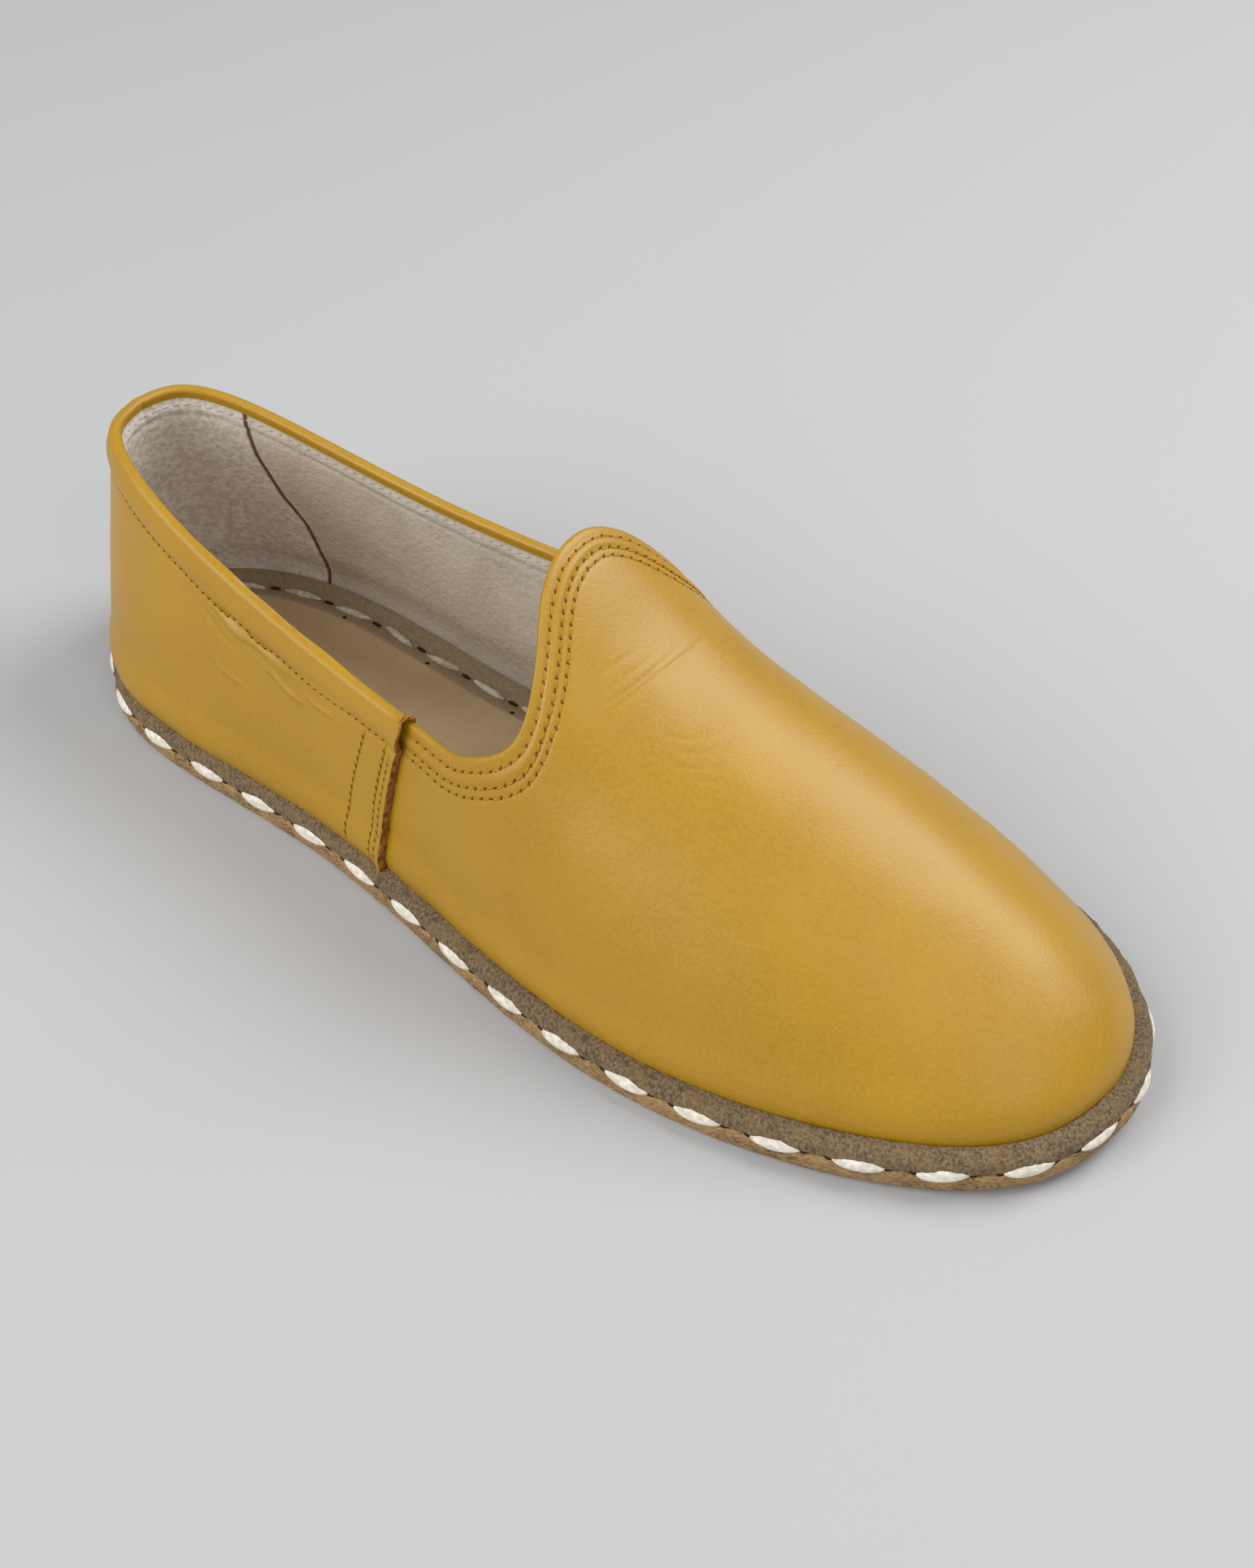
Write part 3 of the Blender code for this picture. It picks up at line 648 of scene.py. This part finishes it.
def fold_over(face, normals, depths, back, tuck, rim):
    """Carries a sheet over its top edge and down inside by tuck, at a depth of rim behind the last."""
    behind = back - normals * rim
    rise = face[:, -1] - face[:, -2]
    rise /= np.linalg.norm(rise, axis=1)[:, None]
    middle, half = (face[:, -1] + behind[:, -1]) / 2, (face[:, -1] - behind[:, -1]) / 2
    radius = np.linalg.norm(half, axis=1)[:, None]
    bends = np.linspace(0, np.pi, 10)[1:-1]
    over = [middle + half * np.cos(a) + rise * radius * 0.9 * np.sin(a) for a in bends]
    count = int(np.sum(depths[0] <= tuck))
    return np.concatenate([face, np.stack(over, axis=1), behind[:, -1 : -count - 1 : -1]], axis=1)


UNDERLAP, STEP = 24, 3
outer_samples = [(-1, i) for i in range(seam_at[-1] - UNDERLAP, len(halves[-1][0]) - 1, STEP)]
inner_samples = [(1, i) for i in range(seam_at[1] - UNDERLAP, len(halves[1][0]) - 1, STEP)]
vamp_samples = outer_samples + [(-1, len(halves[-1][0]) - 1)] + inner_samples[::-1]
vamp_base, vamp_out, vamp_down = wall_sheet(vamp_samples, 0.0144, 0.0006, 56)
vamp_edge = distance_to(vamp_base, vamp_base[:, -1])
wider_low = 1.3 - 0.3 * ease(vamp_base[:, -1:, 2], 0.064, 0.076)
from_edge = vamp_edge / wider_low
shape = np.zeros(vamp_edge.shape)
for row in THROAT_ROWS:
    shape -= ROW_PRESS * np.exp(-(((from_edge - row) / 0.0005) ** 2))
across_band = np.clip((from_edge - THROAT_ROWS[0]) / (THROAT_ROWS[1] - THROAT_ROWS[0]), 0, 1)
shape += ROW_PUFF * np.sin(np.pi * across_band) ** 2
shape += 0.00012 * roughness_of(vamp_base, 0.010) * ease(vamp_edge, 0.006, 0.02)
vamp_face = vamp_base + vamp_out * shape[..., None]
vamp_places = fold_over(vamp_face, vamp_out, vamp_down, vamp_base, VAMP_TUCK, VAMP_RIM)
throat_run = length_along(vamp_base[:, -1])
vamp_flat = np.stack([np.broadcast_to(throat_run[:, None], vamp_edge.shape), vamp_edge], axis=-1)
extra = vamp_places.shape[1] - vamp_flat.shape[1]
vamp_flat = np.concatenate([vamp_flat, vamp_flat[:, -1:].repeat(extra, axis=1) * (1, 0)], axis=1)
vamp = lay_sheet("leather_vamp", vamp_places, vamp_flat)
join_ends()
CREASES = (  # in millimetres: places along each crease, its depth (negative in a ridge), its half width
    (((22.4, -23.9, 67.2), (26.1, -14.2, 70.0), (27.5, -5.4, 71.4), (28.2, 8.0, 71.3),
      (26.3, 16.1, 69.7)), 0.27, 0.45),
    (((22.6, -21.2, 68.9), (25.0, -13.9, 70.8), (26.5, -5.0, 72.3), (26.7, 5.6, 72.8)), 0.2, 0.4),
    (((19.4, -17.1, 73.8), (21.4, -10.0, 75.1), (22.7, -3.3, 75.6)), 0.08, 0.6),
    (((22.9, -14.2, 72.3), (24.4, -7.7, 73.4), (25.1, 0.8, 74.1)), 0.09, 0.5),
    (((35.2, -13.4, 65.5), (39.5, -10.5, 64.4), (42.2, -5.6, 64.4), (43.9, 0.0, 64.5)), 0.11, 0.5),
    (((37.2, -15.2, 63.7), (41.9, -12.1, 62.7), (45.1, -6.9, 62.8), (46.9, -1.1, 63.1)), 0.13, 0.5),
    (((40.0, -16.4, 61.7), (44.7, -13.2, 60.9), (47.6, -8.6, 61.2)), 0.13, 0.5),
    (((43.8, -16.3, 59.9), (47.6, -13.7, 59.4), (50.1, -10.2, 59.6)), 0.11, 0.5),
    (((63.4, 2.8, 56.8), (63.6, 8.2, 56.8), (63.4, 14.8, 55.7)), 0.1, 0.6),
)


def press_creases(piece, creases, cuts):
    """Divides the faces beside each crease, then presses it in as a soft line fading at its ends."""
    lines = [(spline(np.array(rows) / 1000, count=120), depth / 1000, half_width / 1000)
             for rows, depth, half_width in creases]

    def beside(points, outs, line):
        """The points near a line, their distance from it along the leather, and its closest place."""
        within = 0.6 * length_along(line)[-1] + 0.004
        near = np.nonzero(np.linalg.norm(points - line.mean(axis=0), axis=1) < within)[0]
        closest = np.linalg.norm(points[near, None] - line, axis=2).argmin(axis=1)
        along = np.gradient(line, axis=0)[closest]
        along /= np.linalg.norm(along, axis=1)[:, None]
        between_ends = ((closest > 0) & (closest < len(line) - 1))[:, None]
        gap, out = points[near] - line[closest], outs[near]
        gap = gap - out * (gap * out).sum(axis=1)[:, None]
        gap = gap - along * (gap * along).sum(axis=1)[:, None] * between_ends
        return near, np.linalg.norm(gap, axis=1), closest

    bpy.ops.object.mode_set(mode="EDIT")
    bpy.ops.mesh.select_mode(type="FACE")
    bpy.ops.mesh.select_all(action="DESELECT")
    bpy.ops.object.mode_set(mode="OBJECT")
    middles = np.array([face.center for face in piece.data.polygons])
    faced = np.array([face.normal for face in piece.data.polygons])
    for line, depth, half_width in lines:
        near, gap, closest = beside(middles, faced, line)
        for k in near[gap < 2.2 * half_width + 0.0006]:
            piece.data.polygons[k].select = True
    bpy.ops.object.mode_set(mode="EDIT")
    bpy.ops.mesh.subdivide(number_cuts=cuts)
    bpy.ops.object.mode_set(mode="OBJECT")
    points = np.array([vertex.co for vertex in piece.data.vertices])
    outs = np.array([normal.vector for normal in piece.data.vertex_normals])
    for line, depth, half_width in lines:
        near, gap, closest = beside(points, outs, line)
        pressed = depth * np.exp(-((gap / half_width) ** 2)) * np.sin(np.pi * (closest + 2) / (len(line) + 3))
        points[near] -= outs[near] * pressed[:, None]
    piece.data.vertices.foreach_set("co", points.ravel())
    piece.data.update()


press_creases(vamp, CREASES, 4)
give_thickness(vamp, VAMP_THICKNESS)


def mustard_leather(name):
    """Smooth mustard leather with a fine grain, soft clouds of colour and a few dark specks."""
    made, finish, node, speckle, blend, band, bump = new_material(name, 0.42, 0.52)
    clouds, grain, pores = speckle(0.022, 3.0), speckle(0.0009, 3.0), speckle(0.0004, 2.0)
    colour = blend(band(clouds, 0.3, 0.7), (0.395, 0.206, 0.002), (0.430, 0.229, 0.003))
    colour = blend(band(grain, 0.30, 0.75, 0.0, 0.38), colour, (0.50, 0.280, 0.008))
    specks = node("TexVoronoi", {"Vector": node("TexCoord").outputs["Object"], "Scale": 210.0})
    colour = blend(band(specks.outputs["Distance"], 0.020, 0.045, 0.55, 0.0), colour, (0.20, 0.085, 0.012))
    finish({"Base Color": colour, "Roughness": band(grain, 0.2, 0.8, 0.36, 0.48), "Coat Weight": 0.10,
            "Coat Roughness": 0.30, "Normal": bump(grain, 0.00006, bump(pores, 0.00006))})
    return made


vamp.data.materials.append(mustard_leather("mustard_vamp_leather"))
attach(vamp, "root")
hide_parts("upper")

# Quarter: one long piece of the same leather round the heel, lapped over the vamp at both sides,
# where its cut edge is left raw. Its top is folded into a soft puffed collar band.
CUT_LIFT, CUT_DEPTH, QUARTER_STEP = 0.0009, 0.0021, 2
QUARTER_THICKNESS, QUARTER_TUCK, QUARTER_RIM = 0.0008, 0.0015, 0.0018
COLLAR_ROW, COLLAR_PUFF, COLLAR_PRESS = 0.0076, 0.00075, 0.00035
quarter_samples = [(-1, i) for i in range(seam_at[-1], 0, -QUARTER_STEP)][::-1]
quarter_samples = [(1, i) for i in range(seam_at[1], 0, -QUARTER_STEP)] + [(-1, 0)] + quarter_samples
quarter_base, quarter_out, quarter_down = wall_sheet(quarter_samples, 0.0156, 0.0006, 50)
quarter_edge = distance_to(quarter_base, quarter_base[:, -1])
cut_lines = [resampled(quarter_base[k], np.linspace(0, 1, 400)) for k in (0, -1)]
behind_seam = distance_to(quarter_base, np.concatenate(cut_lines))
lapped = QUARTER_LAP + CUT_LIFT * (1 - ease(behind_seam, 0.0, 0.004))
puff = COLLAR_PUFF * np.sin(np.pi * np.clip(quarter_edge / COLLAR_ROW, 0, 1)) ** 1.3
shape = puff - COLLAR_PRESS * np.exp(-(((quarter_edge - COLLAR_ROW) / 0.0008) ** 2))
SEAM_ROWS, PANEL_ROW = (0.0021, 0.0040), 0.0106
for row in SEAM_ROWS:
    shape -= 0.00018 * np.exp(-(((behind_seam - row) / 0.0006) ** 2)) * ease(quarter_edge, 0.009, 0.011)
shape += 0.00016 * roughness_of(quarter_base, 0.012, 5.0) * ease(quarter_edge, 0.008, 0.016)
quarter_face = quarter_base + quarter_out * (lapped + shape)[..., None]
round_the_heel = np.gradient(quarter_base, axis=0)
round_the_heel /= np.linalg.norm(round_the_heel, axis=2)[..., None]
inner_half = np.arange(len(quarter_base)) < len(quarter_base) / 2
towards_toe = round_the_heel * np.where(inner_half, -1, 1)[:, None, None]
forward = 0.0022 * (1 - ease(quarter_base[..., 2], 0.008, 0.048)) * (1 - ease(behind_seam, 0.0, 0.012))
quarter_face = quarter_face + towards_toe * forward[..., None]
quarter_places = fold_over(quarter_face, quarter_out, quarter_down, quarter_base, QUARTER_TUCK, QUARTER_RIM)
rolled = quarter_places.shape[1] - quarter_base.shape[1]


def over_rim(field):
    """A field of the quarter's face carried on over its fold."""
    return np.concatenate([field, field[:, -1:].repeat(rolled, axis=1)], axis=1)


peak = (1 - ease(over_rim(quarter_edge), 0.0, 0.0025)) * (1 - ease(over_rim(behind_seam), 0.0, 0.003)) ** 2
quarter_places[..., 2] += 0.0012 * peak
flaps = []
for end in (0, -1):
    ahead, out_here = over_rim(towards_toe)[end], over_rim(quarter_out)[end]
    full = 0.0006 + (CUT_DEPTH - 0.0006) * ease(over_rim(quarter_edge)[end], 0.0005, 0.010)
    full[-rolled + 4 :] = 0.00002
    wave = roughness_of(quarter_places[end], 0.0030, 2.0) * 0.0003
    wave += roughness_of(quarter_places[end], 0.0009, 4.0) * 0.0002
    strips = []
    for beyond, down, loose in ((1e-4, 0.04, 0.6), (3e-4, 0.3, 1.0), (3e-4, 0.7, 1.0), (2e-4, 1.0, 0.8)):
        forwards = (beyond + wave * loose) * (full > 0.0001)
        strips.append(quarter_places[end] + ahead * forwards[:, None] - out_here * (down * full)[:, None])
    flaps.append(strips)
quarter_places = np.concatenate([np.array(flaps[0])[::-1], quarter_places, np.array(flaps[1])])
quarter_flat = np.stack([over_rim(behind_seam), over_rim(quarter_edge)], axis=-1)
first, last = quarter_flat[:1].repeat(4, axis=0), quarter_flat[-1:].repeat(4, axis=0)
quarter_flat = np.concatenate([first, quarter_flat, last])
quarter = lay_sheet("leather_quarter", quarter_places, quarter_flat)
quarter.data.materials.append(mustard_leather("mustard_quarter_leather"))
columns = len(quarter_places) - 1
for face in quarter.data.polygons:
    face.material_index = int(face.index % columns < 4 or face.index % columns >= columns - 4)
WRINKLES = (  # as the vamp's creases
    (((-92.3, -26.1, 52.7), (-87.0, -26.7, 52.8), (-81.6, -27.6, 51.2), (-77.2, -28.3, 49.5),
      (-72.1, -29.1, 47.6), (-67.0, -29.5, 47.9), (-61.2, -30.2, 46.6), (-56.2, -30.8, 46.0),
      (-52.0, -31.2, 45.5)), -0.65, 1.1),
    (((-89.5, -27.0, 50.2), (-82.3, -28.4, 47.0), (-76.2, -29.5, 44.2), (-69.4, -30.1, 43.7)), 0.42, 1.1),
    (((-65.3, -30.5, 43.2), (-60.3, -30.8, 43.1), (-56.1, -31.5, 41.3), (-52.0, -31.9, 40.8),
      (-47.1, -32.3, 40.8)), -0.6, 0.9),
    (((-57.0, -30.4, 47.5), (-51.2, -31.0, 47.3), (-45.4, -31.7, 47.2), (-39.6, -32.3, 47.1),
      (-33.8, -33.0, 47.8)), -0.55, 0.8),
    (((-82.7, -30.3, 38.1), (-79.3, -30.9, 36.2), (-75.1, -31.3, 35.6), (-70.1, -31.6, 34.7),
      (-66.8, -32.0, 33.7)), -0.4, 0.9),
    (((-51.2, -31.6, 43.3), (-45.4, -32.3, 42.4), (-40.5, -32.8, 42.2), (-38.0, -33.3, 40.6)), -0.5, 0.8),
)
press_creases(quarter, WRINKLES, 2)
made, finish, node, speckle, blend, band, bump = new_material("raw_cut_edge", 0.85, 0.15)
fibres = speckle(0.0010, 4.0, (1.0, 1.0, 0.5))
fibre_colour = blend(band(fibres, 0.3, 0.7), (0.160, 0.055, 0.010), (0.42, 0.185, 0.040))
finish({"Base Color": fibre_colour, "Normal": bump(fibres, 0.0003)})
quarter.data.materials.append(made)
give_thickness(quarter, QUARTER_THICKNESS)
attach(quarter, "root")
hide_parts("upper")

# Linings: smooth beige-grey leather inside the whole upper, and a separate lining of mottled grey
# suede round the heel, sewn to it along a curved dark seam.
LINING_THICKNESS, HEEL_SEAM_STEP = 0.0007, 0.0004
LINING_TOP, LINING_GROOVE = 0.0008, 0.0056
HEEL_SEAM = (  # height, place along the shoe
    (0.000, -0.1045), (0.018, -0.1040), (0.030, -0.1062), (0.039, -0.1098), (0.053, -0.1126), (0.070, -0.1132),
)
lining_samples = [(-1, i) for i in range(0, len(halves[-1][0]) - 1, STEP)] + [(-1, len(halves[-1][0]) - 1)]
lining_samples += [(1, i) for i in range(0, len(halves[1][0]) - 1, STEP)][::-1]
lining_base, lining_out, lining_down = wall_sheet(lining_samples, 0.0120, 0.0006, 34)
seam_x = np.interp(lining_base[..., 2], *np.array(HEEL_SEAM).T)
from_heel_seam = lining_base[..., 0] - seam_x
thickness = 0.0014 + (WALL - 0.0014) * ease(lining_down, 0.0016, 0.0040)
thickness -= 0.00035 * np.exp(-(((lining_down - LINING_GROOVE) / 0.0006) ** 2))
thickness += HEEL_SEAM_STEP * (1 - ease(from_heel_seam, -0.0012, 0.0))
thickness += 0.00022 * roughness_of(lining_base, 0.013, 9.0)
lining_places = lining_base - lining_out * thickness[..., None]
keep = lining_down[0] >= LINING_TOP
lining_places, lining_out, lining_edge, from_heel_seam = (
    field[:, keep] for field in (lining_places, lining_out, lining_down, from_heel_seam)
)
lining = lay_sheet("leather_lining", lining_places, np.stack([from_heel_seam, lining_edge], axis=-1))
join_ends()
edit_all(bpy.ops.mesh.flip_normals)
give_thickness(lining, LINING_THICKNESS)
made, finish, node, speckle, blend, band, bump = new_material("beige_and_suede_lining", 0.75, 0.2)
flat = node("SeparateXYZ", {"Vector": node("TexCoord").outputs["UV"]}).outputs
grain, clouds, nap = speckle(0.0011, 3.0), speckle(0.012, 3.0), speckle(0.0016, 5.0)
smooth_colour = blend(band(clouds, 0.3, 0.7), (0.52, 0.455, 0.375), (0.60, 0.535, 0.45))
smooth_colour = blend(band(grain, 0.3, 0.7, 0.0, 0.25), smooth_colour, (0.44, 0.38, 0.31))
suede_colour = blend(band(nap, 0.34, 0.66), (0.56, 0.50, 0.435), (0.74, 0.68, 0.61))
suede_colour = blend(band(clouds, 0.35, 0.65, 0.0, 0.35), suede_colour, (0.58, 0.515, 0.44))
heel_share = band(flat["X"], -0.0003, 0.0001, 1.0, 0.0)
lining_colour = blend(heel_share, smooth_colour, suede_colour)
line_share = node("Math", {0: band(flat["X"], -0.0011, -0.0004), 1: band(flat["X"], 0.0000, 0.0005, 1.0, 0.0)},
                  operation="MULTIPLY").outputs[0]
lining_colour = blend(line_share, lining_colour, (0.12, 0.070, 0.042))
finish({"Base Color": lining_colour, "Normal": bump(nap, 0.0004, bump(grain, 0.00015))})
lining.data.materials.append(made)
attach(lining, "root")

# Machine stitches: mustard thread in short stitches, each between two needle holes, drawn as dark reddish-brown
# marks of painted shade. One row lies under the collar band, three round the throat and three behind each side
# seam, and a row of pale thread holds the lining to the collar.
THREAD_LENGTH, THREAD_WIDTH, THREAD_RISE = 0.0020, 0.00065, 0.00022
HOLE_LENGTH, HOLE_WIDTH, HOLE_RISE = 0.00120, 0.00052, 0.00016
THROAT_PITCH, COLLAR_PITCH, SEAM_PITCH, LINING_PITCH, LINING_ROW = 0.0027, 0.0022, 0.0024, 0.0026, 0.0025


def trace(places, outs, field, value, last=True):
    """Where a field over a sheet passes a value, line after line, as rows of (place, outward)."""
    rows = []
    for place, out, here in zip(places, outs, field):
        found = np.nonzero((here[:-1] - value) * (here[1:] - value) < 0)[0]
        if len(found):
            k = found[-1 if last else 0]
            t = (value - here[k]) / (here[k + 1] - here[k])
            rows.append(np.concatenate([line[k] * (1 - t) + line[k + 1] * t for line in (place, out)]))
    return np.array(rows)


rows_to_sew = []  # the piece each row is sewn on, its path, and the length of one stitch
shown = [k for k, (side, index) in enumerate(vamp_samples) if index >= seam_at[side] + 2]
for row in THROAT_ROWS:
    rows_to_sew.append((vamp, trace(vamp_face[shown], vamp_out[shown], from_edge[shown], row), THROAT_PITCH))
collar_row = trace(quarter_face, quarter_out, quarter_edge, COLLAR_ROW)
seam_gap = distance_to(collar_row[:, :3], np.concatenate([quarter_face[0], quarter_face[-1]]))
rows_to_sew.append((quarter, collar_row[seam_gap > SEAM_ROWS[0]], COLLAR_PITCH))
middle_line = len(quarter_base) // 2
for lines in (slice(0, middle_line), slice(middle_line, None)):
    across = [field[lines].swapaxes(0, 1) for field in (quarter_face, quarter_out, behind_seam)]
    for row in (*SEAM_ROWS, PANEL_ROW):
        path = trace(*across, row, last=lines.start > 0)
        below = distance_to(path[:, :3], quarter_base[:, -1])
        in_sight = (below > COLLAR_ROW) & (path[:, 2] > foot_level + RAND_HEIGHT + 0.0005)
        rows_to_sew.append((quarter, path[in_sight], SEAM_PITCH))
rows_to_sew.append((lining, trace(lining_places, -lining_out, lining_edge, LINING_ROW), LINING_PITCH))
threads, needle_holes = [], []
for k, (piece, path, pitch) in enumerate(rows_to_sew):
    for row in path:
        row[:3] = piece.closest_point_on_mesh(Vector(row[:3] + row[3:] * 0.0008))[1]
    run = length_along(path[:, :3])
    count = int(run[-1] / pitch)
    path = np.column_stack([path[:, :3] + path[:, 3:] * 0.00004, path[:, 3:]])
    length = THREAD_LENGTH * pitch / LINING_PITCH
    threads.append(sew(f"thread_row_{k}", path, (np.arange(count) + 0.5) * pitch, length,
                       THREAD_WIDTH, THREAD_RISE, sides=6, rings=4, slant=0.15, waver=0.10))
    if k < len(rows_to_sew) - 1:
        needle_holes.append(sew(f"hole_row_{k}", path, np.arange(1, count) * pitch, HOLE_LENGTH,
                                HOLE_WIDTH, HOLE_RISE, sides=6, rings=4, slant=0.7, waver=0.25))
made, finish, node, speckle, blend, band, bump = new_material("mustard_thread", 0.7, 0.25)
finish({"Base Color": blend(speckle(0.0009), (0.38, 0.195, 0.012), (0.52, 0.28, 0.022)),
        "Normal": bump(speckle(0.0003), 0.0001)})
mustard_thread = made
# Dark reddish-brown marks for the needle holes: painted shade of the holes.
made, finish, node, speckle, blend, band, bump = new_material("needle_hole_painted_shade", 0.8, 0.1)
finish({"Base Color": blend(speckle(0.0006), (0.095, 0.040, 0.006), (0.22, 0.100, 0.014))})
needle_hole_painted_shade = made
made, finish, node, speckle, blend, band, bump = new_material("pale_lining_thread", 0.7, 0.25)
finish({"Base Color": blend(speckle(0.0013), (0.46, 0.37, 0.30), (0.74, 0.68, 0.62))})
for name, parts, stuff in (
    ("seam_threads", threads[:-1], mustard_thread), ("lining_threads", threads[-1:], made),
    ("needle_holes", needle_holes, needle_hole_painted_shade),
):
    bpy.ops.object.select_all(action="DESELECT")
    for part in parts:
        part.select_set(True)
    bpy.context.view_layer.objects.active = parts[0]
    if len(parts) > 1:
        bpy.ops.object.join()
    parts[0].name = parts[0].data.name = name
    parts[0].data.materials.append(stuff)
    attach(parts[0], "root")

bpy.ops.object.select_all(action="DESELECT")
